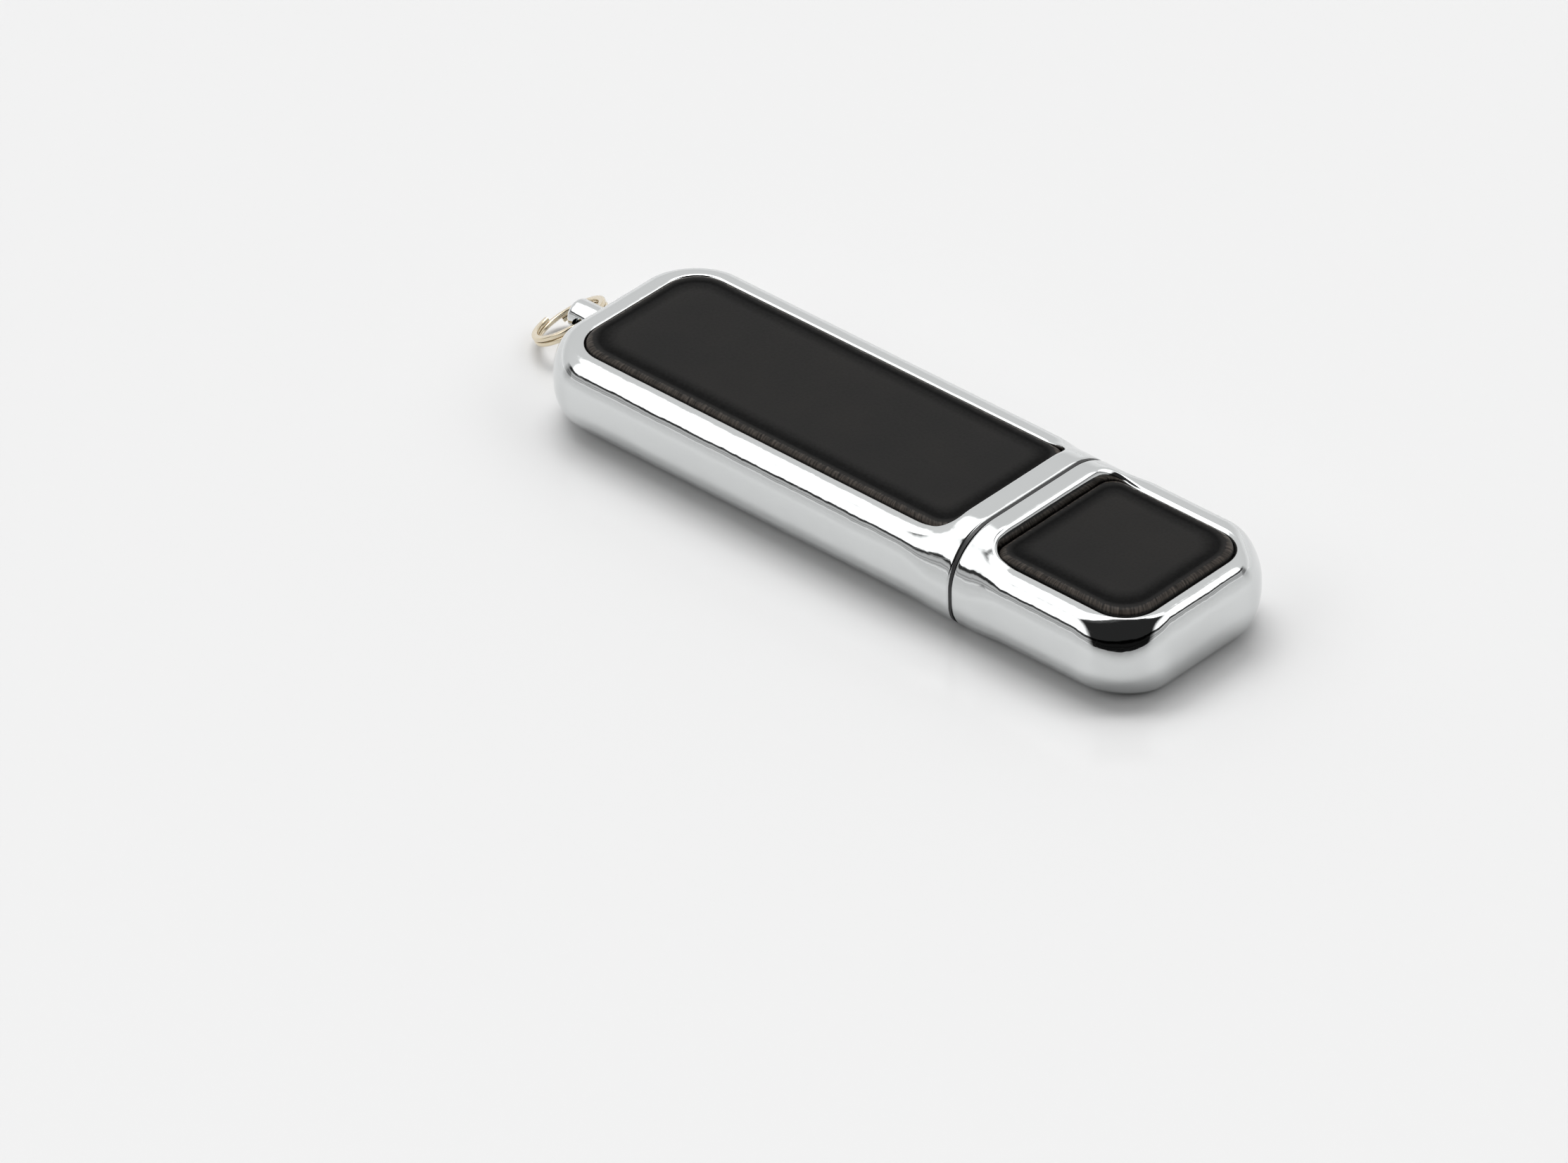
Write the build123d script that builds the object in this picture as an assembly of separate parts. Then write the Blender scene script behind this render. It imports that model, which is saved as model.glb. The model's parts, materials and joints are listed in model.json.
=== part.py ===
"""USB flash drive: a chrome-plated frame with padded leather inlays, a pull-off cap and a key ring.

Millimetres. +X runs from the key-ring end to the cap end, +Y across the width and +Z up.
The origin is the middle of the closed case, on the plane that it rests on.
"""

import math
import os

from build123d import *

# Closed case
case_length = 69.0
case_width = 21.0
rim_thickness = 7.4  # over the rims round the leather
top_band_rise = 1.4  # the bands at the seam stand this much above the rims
bottom_band_rise = 0.3
plan_corner_radius = 5.9
edge_radius = 2.5
shoulder_radius = 4.95  # of the band's top edges
body_length = 49.1  # from the key-ring end to the mouth
flange_thickness = 0.3  # of the collar, seen as the dark line at the seam
closing_gap = 0.05
body_band_width = 2.2
cap_band_width = 1.7
band_reach = 2.0  # how far the band runs down past the window's edge
band_round = 2.3
mouth_round = 0.15

# Frames
end_wall = 1.5
side_wall = 1.75
inlay_depth = 1.0  # from the rim down to the core that carries the inlay
body_window_side_margin = 2.6
body_window_end_margin = 2.9
cap_window_side_margin = 2.85
cap_window_end_margin = 2.1
window_corner_radius = 3.2
seam_corner_radius = 1.8

# Leather inlays
inlay_clearance = 0.08
tape_thickness = 0.1
card_thickness = 0.3
leather_thickness = 0.5
leather_skirt = 0.45
leather_round = 0.6
leather_rise = 0.3  # above the rim
tape_margin = 0.35

# Core, collar and cap liner
sliding_clearance = 0.05
core_wall = 0.6
core_end_gap = 1.5  # room for the post's head and washer
collar_spigot = 3.0
neck_length = 3.0
neck_clearance = 0.12
ledge_width = 0.85
pin_diameter = 0.8
pin_height = 0.9
pin_clearance = 0.05
pin_inset = 2.0  # from the core's square end
liner_gap = 0.25  # between the collar's neck and the liner
liner_tip_room = 0.8
liner_pocket_width = 1.2
liner_pocket_length = 8.0

# USB type A plug
plug_width = 12.0
plug_height = 4.5
plug_wall = 0.3
plug_corner_radius = 0.65
plug_exposed = 12.0
plug_rear_gap = 0.1  # from the core to the back of the plug
tongue_rise = 0.0  # of the tongue's top face above the plug's middle
tongue_setback = 0.4
latch_width = 2.5
latch_length = 2.0
latch_setback = 5.15
latch_spacing = 6.0
contact_width = 1.0
contact_thickness = 0.25
contact_sunk = 0.15
contact_places = (-3.5, -1.0, 1.0, 3.5)
outer_contact_length = 7.4
inner_contact_length = 6.4
contact_setback = 1.2
block_length = 4.5
tail_length = 2.0

# Circuit board and what stands on it
board_length = 36.0
board_width = 14.4
board_thickness = 0.8
board_side_clearance = 0.05
flash_size = (18.4, 12.0, 1.0)
flash_standoff = 0.1
flash_pins = 24
flash_pitch = 0.5
controller_size = (7.0, 7.0, 1.0)
controller_pins = 12
controller_pitch = 0.5
lead_width = 0.22
lead_thickness = 0.13
lead_reach = 0.8
crystal_size = (3.2, 2.5, 0.8)
capacitor_size = (1.6, 0.8, 0.8)
resistor_size = (1.0, 0.5, 0.35)
small_part_spacing = 2.6
chip_gap = 1.6

# Key-ring post and split ring
post_diameter = 2.8
post_length = 3.9
post_tip_round = 0.5
post_hole_diameter = 1.7
post_hole_setback = 1.7
post_neck_diameter = 1.6
post_neck_clearance = 0.05
post_face_gap = 0.05
post_head_diameter = 2.6
post_head_thickness = 0.5
washer_diameter = 3.6
washer_thickness = 0.3
washer_clearance = 0.05
post_turn = 10.0  # degrees, how far the cross hole is turned about X
ring_outer_diameter = 7.2
wire_width = 0.6
wire_thickness = 0.42
ring_pitch = 0.47
ring_turns = 1.94

# Places worked out from the sizes
middle_z = bottom_band_rise + rim_thickness / 2
rim_top = bottom_band_rise + rim_thickness
case_top = rim_top + top_band_rise
leather_top = rim_top + leather_rise
left_x = -case_length / 2
right_x = case_length / 2
mouth_x = left_x + body_length
flange_x = mouth_x + flange_thickness
cap_mouth_x = flange_x + closing_gap
core_top = rim_top - inlay_depth
core_height = 2 * (core_top - middle_z)
channel_width = case_width - 2 * side_wall
body_window_width = case_width - 2 * body_window_side_margin
cap_window_width = case_width - 2 * cap_window_side_margin
body_window = (left_x + body_window_end_margin, mouth_x - body_band_width)
cap_window = (cap_mouth_x + cap_band_width, right_x - cap_window_end_margin)
core_width = channel_width - 2 * sliding_clearance
core_left = left_x + end_wall + core_end_gap
core_right = mouth_x - collar_spigot
plug_tip = flange_x + neck_length + plug_exposed
plug_rear = core_right + plug_rear_gap
tongue_top = middle_z + tongue_rise
board_top = tongue_top - contact_sunk
board_bottom = board_top - board_thickness
board_right = core_right
board_left = board_right - board_length
contact_rear = plug_rear - tail_length
hole_x = left_x - post_face_gap - post_length + post_hole_setback


def block(x0, x1, width, z0, z1):
    """A box from x0 to x1 and z0 to z1, centred across the width."""
    centre = ((x0 + x1) / 2, 0, (z0 + z1) / 2)
    return Pos(*centre) * Box(x1 - x0, width, z1 - z0)


def flip(shape):
    """The same piece on the underside of the case."""
    return mirror(shape, Plane.XY.offset(middle_z))


def outline(x0, x1, width, left_radius, right_radius, inset=0.0):
    """A flat rectangle with its own corner radius at each end."""
    length = x1 - x0 - 2 * inset
    face = Pos((x0 + x1) / 2, 0) * Rectangle(length, width - 2 * inset)
    left, right = face.vertices().group_by(Axis.X)
    face = fillet(left, max(left_radius - inset, 0.2))
    right = face.vertices().group_by(Axis.X)[-1]
    return fillet(right, max(right_radius - inset, 0.2))


def prism(face, z0, z1):
    return extrude(Pos(0, 0, z0) * face, amount=z1 - z0)


def body_outline(inset=0.0):
    return outline(*body_window, body_window_width, window_corner_radius, seam_corner_radius, inset)


def cap_outline(inset=0.0):
    return outline(*cap_window, cap_window_width, seam_corner_radius, window_corner_radius, inset)


# ---------------------------------------------------------------- chrome frames


def band_section(inset=0.0):
    """The case's outline where the bands cross it, standing upright with its height along X."""
    return outline(0, case_top, case_width, edge_radius, shoulder_radius, inset)


def across_case(x):
    """The upright plane at x that a section is placed on."""
    return Plane(origin=(x, 0, 0), x_dir=(0, 0, 1), z_dir=(1, 0, 0))


def seam_bands():
    """The raised bands of body and cap, as one rounded block across the seam."""
    x0 = body_window[1] - band_reach
    x1 = cap_window[0] + band_reach
    side = Pos((x0 + x1) / 2, case_top / 2) * RectangleRounded(x1 - x0, case_top, band_round)
    along = extrude(Plane.XZ * side, amount=case_width / 2, both=True)
    across = extrude(across_case(x0) * band_section(), amount=x1 - x0)
    return along & across


def closed_case():
    """The outer form of body and cap together, every long edge rounded."""
    plan = RectangleRounded(case_length, case_width, plan_corner_radius)
    slab = prism(plan, bottom_band_rise, rim_top)
    slab = fillet(slab.faces().filter_by(Axis.Z).edges(), edge_radius)
    return slab + seam_bands()


def channel(x0, x1, closed_end):
    """The space for the core, with rounded corners at its closed end."""
    radius = plan_corner_radius - end_wall
    radii = (radius, 0.0) if closed_end < 0 else (0.0, radius)
    face = Pos((x0 + x1) / 2, 0) * Rectangle(x1 - x0, channel_width)
    ends = face.vertices().group_by(Axis.X)
    face = fillet(ends[0 if closed_end < 0 else -1], max(radii))
    return prism(face, middle_z - core_height / 2, middle_z + core_height / 2)


def round_mouth(frame, x):
    """Rounds the outer edge of the mouth at x."""
    face = frame.faces().filter_by(Axis.X).sort_by(lambda f: abs(f.center().X - x))[0]
    return fillet(face.outer_wire().edges(), mouth_round)


def body_frame(case):
    room = block(left_x - 1, mouth_x, case_width + 2, -1, case_top + 1)
    window = prism(body_outline(), middle_z, case_top + 1)
    frame = (case & room) - channel(left_x + end_wall, mouth_x + 1, -1) - window - flip(window)
    neck_hole = post_neck_diameter / 2 + post_neck_clearance
    frame -= Pos(left_x, 0, middle_z) * Rot(0, 90, 0) * Cylinder(neck_hole, 4 * end_wall)
    frame = round_mouth(frame, mouth_x)
    return frame


def cap_frame(case):
    room = block(cap_mouth_x, right_x + 1, case_width + 2, -1, case_top + 1)
    window = prism(cap_outline(), middle_z, case_top + 1)
    frame = (case & room) - channel(cap_mouth_x - 1, right_x - end_wall, 1) - window - flip(window)
    return round_mouth(frame, cap_mouth_x)


# -------------------------------------------------------------- leather inlays


def inlay(outline_at):
    """Tape, card, foam and leather in one window, from the core upwards."""
    skin = inlay_clearance + leather_skirt
    tape_top = core_top + tape_thickness
    card_top = tape_top + card_thickness
    foam_top = leather_top - leather_thickness
    hide = prism(outline_at(inlay_clearance), tape_top, leather_top)
    hide = fillet(hide.faces().sort_by(Axis.Z)[-1].edges(), leather_round)
    return {
        "tape": prism(outline_at(tape_margin), core_top, tape_top),
        "card": prism(outline_at(skin), tape_top, card_top),
        "foam": prism(outline_at(skin), card_top, foam_top),
        "leather": hide - prism(outline_at(skin), tape_top, foam_top),
    }


# ------------------------------------------------------- core, collar and liner


def core():
    """The black shell round the board, cut into two halves at the board's middle."""
    room_height = core_height / 2 - core_wall
    body = prism(
        outline(core_left, core_right, core_width, plan_corner_radius - end_wall, 0.3),
        middle_z - core_height / 2,
        middle_z + core_height / 2,
    )
    inner = board_width + 2 * board_side_clearance
    inside = block(
        core_left + 2 * core_wall,
        core_right + 1,
        inner - 2 * ledge_width,
        middle_z - room_height,
        middle_z + room_height,
    )
    slot = block(board_left - 2 * sliding_clearance, core_right + 1, inner, board_bottom, board_top)
    hollow = body - inside - slot
    part_z = (board_bottom + board_top) / 2
    above = block(core_left - 1, core_right + 1, case_width, part_z, case_top)
    below = block(core_left - 1, core_right + 1, case_width, 0, part_z)
    upper, lower = hollow & above, hollow & below
    pin_y = (inner + core_width) / 4
    first_pin, last_pin = core_left + plan_corner_radius, core_right - pin_inset
    for x in (first_pin, (first_pin + last_pin) / 2, last_pin):
        for y in (-pin_y, pin_y):
            upper += Pos(x, y, part_z - pin_height / 2) * Cylinder(pin_diameter / 2, pin_height)
            socket = Cylinder(pin_diameter / 2 + pin_clearance, 2 * pin_height + 0.2)
            lower -= Pos(x, y, part_z) * socket
    return upper, lower


def plug_cut(clearance):
    """The way through for the plug's steel shell."""
    size = (plug_width + 2 * clearance, plug_height + 2 * clearance)
    face = Plane.YZ * RectangleRounded(*size, plug_corner_radius + clearance)
    return Pos(0, 0, middle_z) * extrude(face, amount=2 * case_length, both=True)


def collar():
    """Spigot in the body's mouth, flange at the seam, and the neck that the cap slides over."""
    spigot = block(core_right, mouth_x, core_width, middle_z - core_height / 2, core_top)
    flange = extrude(across_case(mouth_x) * band_section(mouth_round), amount=flange_thickness)
    neck_size = (channel_width - 2 * neck_clearance, core_height - 2 * neck_clearance)
    neck_face = Plane.YZ * RectangleRounded(*neck_size, 0.5)
    neck = Pos(flange_x, 0, middle_z) * extrude(neck_face, amount=neck_length)
    neck = chamfer(neck.faces().sort_by(Axis.X)[-1].edges(), 0.3)
    return spigot + flange + neck - plug_cut(0.02)


def cap_liner():
    """The black insert in the cap, with a socket that holds the plug's shell."""
    x0 = flange_x + neck_length + liner_gap
    x1 = right_x - end_wall - sliding_clearance
    radius = plan_corner_radius - end_wall
    z0, z1 = middle_z - core_height / 2, middle_z + core_height / 2
    body = prism(outline(x0, x1, core_width, 0.3, radius), z0, z1)
    socket = plug_cut(sliding_clearance) & block(x0 - 1, plug_tip + liner_tip_room, case_width, z0, z1)
    side = (plug_width / 2 + core_width / 2) / 2
    pocket = block(x0 - 1, x0 + liner_pocket_length, liner_pocket_width, z0 + 1, z1 - 1)
    return body - socket - Pos(0, side, 0) * pocket - Pos(0, -side, 0) * pocket


# ------------------------------------------------------------------- USB plug


def plug_shell():
    """The steel sleeve, with two latch holes in each broad side."""
    size = (plug_width, plug_height)
    inner = (plug_width - 2 * plug_wall, plug_height - 2 * plug_wall)
    ring = RectangleRounded(*size, plug_corner_radius)
    ring -= RectangleRounded(*inner, plug_corner_radius - plug_wall)
    length = plug_tip - plug_rear
    shell = Pos(plug_rear, 0, middle_z) * extrude(Plane.YZ * ring, amount=length)
    x = plug_tip - latch_setback - latch_length / 2
    for side in (-1, 1):
        latch = Box(latch_length, latch_width, plug_height + 1)
        shell -= Pos(x, side * latch_spacing / 2, middle_z) * latch
    return shell


def plug_insulator():
    """The tongue that carries the contacts and the block behind it."""
    width = plug_width - 2 * plug_wall - 0.1
    z0 = middle_z - plug_height / 2 + plug_wall
    z1 = middle_z + plug_height / 2 - plug_wall
    tongue = block(plug_rear, plug_tip - tongue_setback, width, z0, tongue_top)
    back = block(plug_rear, plug_rear + block_length, width, z0, z1)
    body = fillet((tongue + back).edges().filter_by(Axis.X), plug_corner_radius - plug_wall)
    for contact in contacts():
        body -= contact
    return body


def contacts():
    """Four gold-plated strips from the tongue back to the board."""
    made = []
    for y in contact_places:
        outer = abs(y) > 2
        length = outer_contact_length if outer else inner_contact_length
        front = plug_tip - tongue_setback - contact_setback - (0 if outer else 1.0)
        strip = block(contact_rear, front, contact_width, board_top, board_top + contact_thickness)
        shown = front - length
        slim = block(contact_rear, shown, contact_width / 5, board_top, board_top + 1)
        for side in (-1, 1):
            strip -= Pos(0, side * contact_width / 2, 0) * slim
        made.append(Pos(0, y, 0) * strip)
    return made


# -------------------------------------------------------------- circuit board


def chip_with_leads(centre_x, size, pins, pitch, both_ways):
    """A moulded chip body and its gull-wing leads, standing on the board."""
    length, width, height = size
    z0 = board_top + flash_standoff
    body = Pos(centre_x, 0, z0 + height / 2) * Box(length, width, height)
    body = chamfer(body.faces().sort_by(Axis.Z)[-1].edges(), 0.12)
    leads = []
    sides = [(length, 0)] + ([(width, 90)] if both_ways else [])
    for span, turn in sides:
        for direction in (0, 180):
            for n in range(pins):
                offset = (n - (pins - 1) / 2) * pitch
                lead = gull_wing(span / 2, offset)
                leads.append(Pos(centre_x, 0, 0) * Rot(0, 0, turn + direction) * lead)
    return body, leads


def gull_wing(start, offset):
    """One lead: out of the chip, down, and flat on the board."""
    z0, z1 = board_top, board_top + flash_standoff + 0.45
    knee = start + lead_reach * 0.35
    foot = start + lead_reach
    points = [
        (start, z1 - lead_thickness),
        (knee, z1 - lead_thickness),
        (knee, z0),
        (foot, z0),
        (foot, z0 + lead_thickness),
        (knee + lead_thickness, z0 + lead_thickness),
        (knee + lead_thickness, z1),
        (start, z1),
    ]
    face = make_face(Plane.XZ * Polyline(*points, close=True))
    return Pos(0, offset, 0) * extrude(face, amount=lead_width / 2, both=True)


def under_board(places, size):
    """Small parts soldered to the board's underside, as separate solids."""
    z = board_bottom - size[2] / 2
    return [Pos(x, y, z) * Box(*size) for x, y in places]


# ------------------------------------------------------ key-ring post and ring


def cross_hole():
    """The post's axis of swing: the hole's direction, turned about X."""
    turn = math.radians(post_turn)
    return Vector(0, math.cos(turn), math.sin(turn))


def keyring_post():
    """A round post that turns in the end wall, held inside by its spread head."""
    inside_x = left_x + end_wall + washer_thickness + 2 * post_face_gap
    along = Rot(0, 90, 0)
    base_x = left_x - post_face_gap
    barrel = Pos(base_x - post_length / 2, 0, 0) * along * Cylinder(post_diameter / 2, post_length)
    barrel = fillet(barrel.edges().sort_by(Axis.X)[0], post_tip_round)
    neck_length_total = inside_x - base_x
    neck = Pos(base_x + neck_length_total / 2, 0, 0) * along
    neck *= Cylinder(post_neck_diameter / 2, neck_length_total)
    head = Pos(inside_x + post_head_thickness / 2, 0, 0) * along
    head *= Cylinder(post_head_diameter / 2, post_head_thickness)
    head = fillet(head.edges().sort_by(Axis.X)[-1], post_head_thickness * 0.6)
    hole = Pos(hole_x, 0, 0) * Rot(90, 0, 0) * Cylinder(post_hole_diameter / 2, 2 * post_diameter)
    post = barrel + neck + head - hole
    return Pos(0, 0, middle_z) * Rot(post_turn, 0, 0) * post


def post_washer():
    x = left_x + end_wall + post_face_gap + washer_thickness / 2
    inner = post_neck_diameter / 2 + washer_clearance
    ring = Cylinder(washer_diameter / 2, washer_thickness) - Cylinder(inner, washer_thickness)
    return Pos(x, 0, middle_z) * Rot(0, 90, 0) * ring


wire_radius = (ring_outer_diameter - wire_width) / 2
wire_sag = wire_radius - math.sqrt(wire_radius**2 - (post_diameter / 2) ** 2)
ring_reach = wire_radius - wire_sag / 2  # from the cross hole to the ring's centre


def ring_lowest(tilt):
    """Height of the ring's lowest point when it is let down by tilt, in degrees."""
    turn, droop = math.radians(post_turn), math.radians(tilt)
    flatness = math.cos(droop) * math.cos(turn)
    half_depth = ring_pitch + wire_thickness / 2
    centre = middle_z - ring_reach * math.sin(droop) * math.cos(turn)
    edge = ring_outer_diameter / 2 * math.sqrt(1 - flatness**2)
    return centre - edge - half_depth * flatness


def ring_tilt():
    """The tilt at which the ring comes to rest on the table."""
    low, high = 0.0, 80.0
    for _ in range(40):
        tilt = (low + high) / 2
        if ring_lowest(tilt) > 0:
            low = tilt
        else:
            high = tilt
    return low


def split_ring():
    """Flat wire wound nearly twice round, hung through the post's cross hole."""
    path = Helix(ring_pitch, ring_pitch * ring_turns, wire_radius)
    start = Plane(origin=path @ 0, x_dir=(1, 0, 0), z_dir=path % 0)
    coil = sweep(start * Rectangle(wire_width, wire_thickness), path, is_frenet=True)
    coil = Pos(0, 0, -ring_pitch) * coil
    axis = cross_hole()
    droop = math.radians(ring_tilt())
    down = Vector(0, math.sin(math.radians(post_turn)), -math.cos(math.radians(post_turn)))
    away = Vector(-math.cos(droop), 0, 0) + down * math.sin(droop)
    centre = Vector(hole_x, 0, middle_z) + away * ring_reach
    return Plane(origin=centre, x_dir=away, z_dir=axis.cross(away) * -1) * coil


# --------------------------------------------------------------------- output


def parts():
    case = closed_case()
    upper, lower = core()
    made = {
        "body_frame": body_frame(case),
        "cap_frame": cap_frame(case),
        "core_upper": upper,
        "core_lower": lower,
        "collar": collar(),
        "cap_liner": cap_liner(),
        "plug_shell": plug_shell(),
        "plug_insulator": plug_insulator(),
        "plug_contacts": contacts(),
        "keyring_post": keyring_post(),
        "post_washer": post_washer(),
        "split_ring": split_ring(),
    }
    for place, outline_at in (("body", body_outline), ("cap", cap_outline)):
        for layer, solid in inlay(outline_at).items():
            made[f"{place}_top_{layer}"] = solid
            made[f"{place}_bottom_{layer}"] = flip(solid)
    made["board"] = block(board_left, board_right, board_width, board_bottom, board_top)
    flash_x = board_left + chip_gap + lead_reach + flash_size[0] / 2
    controller_x = flash_x + flash_size[0] / 2 + 2 * lead_reach + chip_gap / 2 + controller_size[0] / 2
    flash, flash_leads = chip_with_leads(flash_x, flash_size, flash_pins, flash_pitch, False)
    chip, chip_leads = chip_with_leads(
        controller_x, controller_size, controller_pins, controller_pitch, True
    )
    made["flash_chip"] = flash
    made["flash_chip_leads"] = flash_leads
    made["controller_chip"] = chip
    made["controller_chip_leads"] = chip_leads
    made["crystal"] = under_board([(controller_x, 0)], crystal_size)
    row_x = [controller_x - (n + 1.5) * small_part_spacing for n in range(4)]
    made["capacitors"] = under_board([(x, small_part_spacing) for x in row_x], capacitor_size)
    made["resistors"] = under_board([(x, -small_part_spacing) for x in row_x], resistor_size)
    return made


def main():
    os.makedirs("parts", exist_ok=True)
    for name, solid in parts().items():
        if isinstance(solid, list):
            solid = Compound(children=solid)
        solid.label = name
        export_step(solid, f"parts/{name}.step")
    print("ring tilt", round(ring_tilt(), 2), "cross hole", hole_x, middle_z, cross_hole())
    print("ring reach", round(ring_reach, 3), "mouth", mouth_x, "plug tip", plug_tip)


main()
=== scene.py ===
import json
import math

import bmesh
import bpy
from mathutils import Matrix, Vector, noise


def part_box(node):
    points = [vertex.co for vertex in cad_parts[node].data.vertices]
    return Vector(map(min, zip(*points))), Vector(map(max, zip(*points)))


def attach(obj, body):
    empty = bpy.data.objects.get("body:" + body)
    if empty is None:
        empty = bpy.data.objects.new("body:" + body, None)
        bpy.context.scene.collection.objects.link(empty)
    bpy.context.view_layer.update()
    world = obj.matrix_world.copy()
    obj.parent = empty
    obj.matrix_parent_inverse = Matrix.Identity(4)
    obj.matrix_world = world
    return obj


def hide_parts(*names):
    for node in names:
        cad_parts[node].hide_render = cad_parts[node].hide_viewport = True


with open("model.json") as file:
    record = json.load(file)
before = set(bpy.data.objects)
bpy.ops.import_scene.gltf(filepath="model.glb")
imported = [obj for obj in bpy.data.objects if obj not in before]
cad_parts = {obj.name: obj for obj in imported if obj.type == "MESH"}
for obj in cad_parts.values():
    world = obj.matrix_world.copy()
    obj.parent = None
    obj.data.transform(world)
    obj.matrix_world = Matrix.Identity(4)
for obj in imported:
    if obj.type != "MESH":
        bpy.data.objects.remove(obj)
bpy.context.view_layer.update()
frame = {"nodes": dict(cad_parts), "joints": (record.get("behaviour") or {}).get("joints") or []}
nodes = frame["nodes"]
mm = 0.001
print("frame loaded:", len(nodes), "nodes")


# Colour and node helpers


def linear(hexCode):
    channels = [int(hexCode[i : i + 2], 16) / 255 for i in (1, 3, 5)]
    return [c / 12.92 if c <= 0.04045 else ((c + 0.055) / 1.055) ** 2.4 for c in channels] + [1.0]


def addNode(tree, kind, inputs=None, **settings):
    node = tree.nodes.new(kind)
    for name, value in settings.items():
        setattr(node, name, value)
    for name, value in (inputs or {}).items():
        if isinstance(value, bpy.types.NodeSocket):
            tree.links.new(value, node.inputs[name])
        else:
            node.inputs[name].default_value = value
    return node


def setRamp(node, stops):
    ramp = node.color_ramp
    while len(ramp.elements) > 1:
        ramp.elements.remove(ramp.elements[-1])
    ramp.elements[0].position, ramp.elements[0].color = stops[0]
    for position, colour in stops[1:]:
        ramp.elements.new(position).color = colour
    return node.outputs["Color"]


def startMaterial(name, **sockets):
    material = bpy.data.materials.new(name)
    material.use_nodes = True
    tree = material.node_tree
    shader = tree.nodes["Principled BSDF"]
    for label, value in sockets.items():
        shader.inputs[label.replace("_", " ")].default_value = value
    return material, tree, shader


def perMetre(sizeMm):
    return 1 / (sizeMm * mm)


def grey(value):
    return (value, value, value, 1.0)


# Materials


def chromePlate():
    # Bright chrome over polished zinc casting: a mirror with slight waves left by the buffing
    # wheel, a faint haze from handling and a few hairline scratches.
    material, tree, shader = startMaterial(
        "brightChromePlate", Base_Color=linear("#d8dada"), Metallic=1.0
    )
    place = addNode(tree, "ShaderNodeTexCoord").outputs["Object"]
    waves = addNode(
        tree, "ShaderNodeTexNoise", {"Vector": place, "Scale": perMetre(5.0), "Detail": 1.0}
    )
    peel = addNode(
        tree, "ShaderNodeTexNoise", {"Vector": place, "Scale": perMetre(0.9), "Detail": 1.0}
    )
    stretch = addNode(
        tree, "ShaderNodeMapping", {"Vector": place, "Rotation": (0, 0, 0.5), "Scale": (0.06, 1, 1)}
    )
    scratches = addNode(
        tree,
        "ShaderNodeTexVoronoi",
        {"Vector": stretch.outputs["Vector"], "Scale": perMetre(1.1)},
        feature="DISTANCE_TO_EDGE",
    )
    hairlines = addNode(
        tree,
        "ShaderNodeMapRange",
        {"Value": scratches.outputs["Distance"], "From Max": 0.012, "To Min": 1.0, "To Max": 0.0},
    )
    haze = addNode(
        tree, "ShaderNodeTexNoise", {"Vector": place, "Scale": perMetre(9.0), "Detail": 5.0}
    )
    rough = addNode(
        tree,
        "ShaderNodeMapRange",
        {
            "Value": haze.outputs["Fac"],
            "From Min": 0.35,
            "From Max": 0.7,
            "To Min": 0.03,
            "To Max": 0.085,
        },
    )
    scratched = addNode(
        tree,
        "ShaderNodeMath",
        {0: hairlines.outputs["Result"], 1: 0.12, 2: rough.outputs["Result"]},
        operation="MULTIPLY_ADD",
    )
    broad = addNode(
        tree,
        "ShaderNodeBump",
        {"Height": waves.outputs["Fac"], "Distance": 0.11 * mm, "Strength": 1.0},
    )
    fine = addNode(
        tree,
        "ShaderNodeBump",
        {
            "Height": peel.outputs["Fac"],
            "Distance": 0.013 * mm,
            "Strength": 1.0,
            "Normal": broad.outputs["Normal"],
        },
    )
    tree.links.new(scratched.outputs["Value"], shader.inputs["Roughness"])
    tree.links.new(fine.outputs["Normal"], shader.inputs["Normal"])
    return material


def nickelWire():
    # Nickel-plated spring wire: warmer and softer than the chrome, with fine drawing lines.
    material, tree, shader = startMaterial(
        "nickelPlatedWire", Base_Color=linear("#e3d6bd"), Metallic=1.0, Roughness=0.14
    )
    place = addNode(tree, "ShaderNodeTexCoord").outputs["Object"]
    grain = addNode(
        tree, "ShaderNodeTexNoise", {"Vector": place, "Scale": perMetre(0.18), "Detail": 3.0}
    )
    rough = addNode(
        tree, "ShaderNodeMapRange", {"Value": grain.outputs["Fac"], "To Min": 0.08, "To Max": 0.24}
    )
    bump = addNode(
        tree, "ShaderNodeBump", {"Height": grain.outputs["Fac"], "Distance": 0.004 * mm}
    )
    tree.links.new(rough.outputs["Result"], shader.inputs["Roughness"])
    tree.links.new(bump.outputs["Normal"], shader.inputs["Normal"])
    return material


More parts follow.
